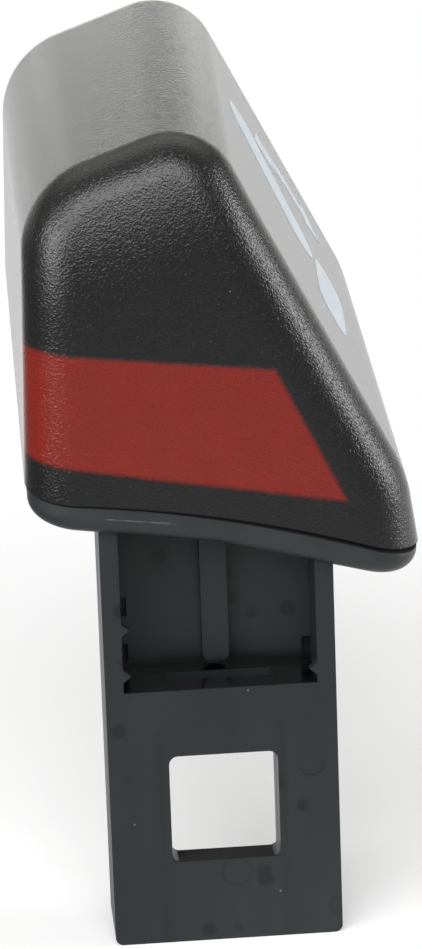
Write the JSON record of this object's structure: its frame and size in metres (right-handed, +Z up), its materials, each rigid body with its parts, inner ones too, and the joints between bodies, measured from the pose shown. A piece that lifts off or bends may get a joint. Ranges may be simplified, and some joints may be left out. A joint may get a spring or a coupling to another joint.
{
  "type": "seat recline handle",
  "caption": "Moulded grip with a slanted face and a red band, closed by a base cap, on a channelled tongue that plugs onto a flat lever blade.",
  "frame": {"origin": "middle of the lever blade's passage, at the lower end of the tongue", "axes": "+Z up along the tongue into the grip, +Y along the grip away from its near end, +X across the tongue toward the slanted face"},
  "size_m": [0.042, 0.067, 0.0925],
  "materials": {
    "shell_plastic": "near-black, fine leather grain",
    "band_coat": "red coat over the same grain",
    "base_plastic": "smooth slate grey, satin",
    "screw_steel": "zinc plated",
    "print_white": "white pad print"
  },
  "bodies": {
    "root": {"grip_shell": "shell_plastic", "red_band": "band_coat", "base_cap": "base_plastic", "bracket": "base_plastic", "bracket_screws": "screw_steel"}
  },
  "joints": []
}
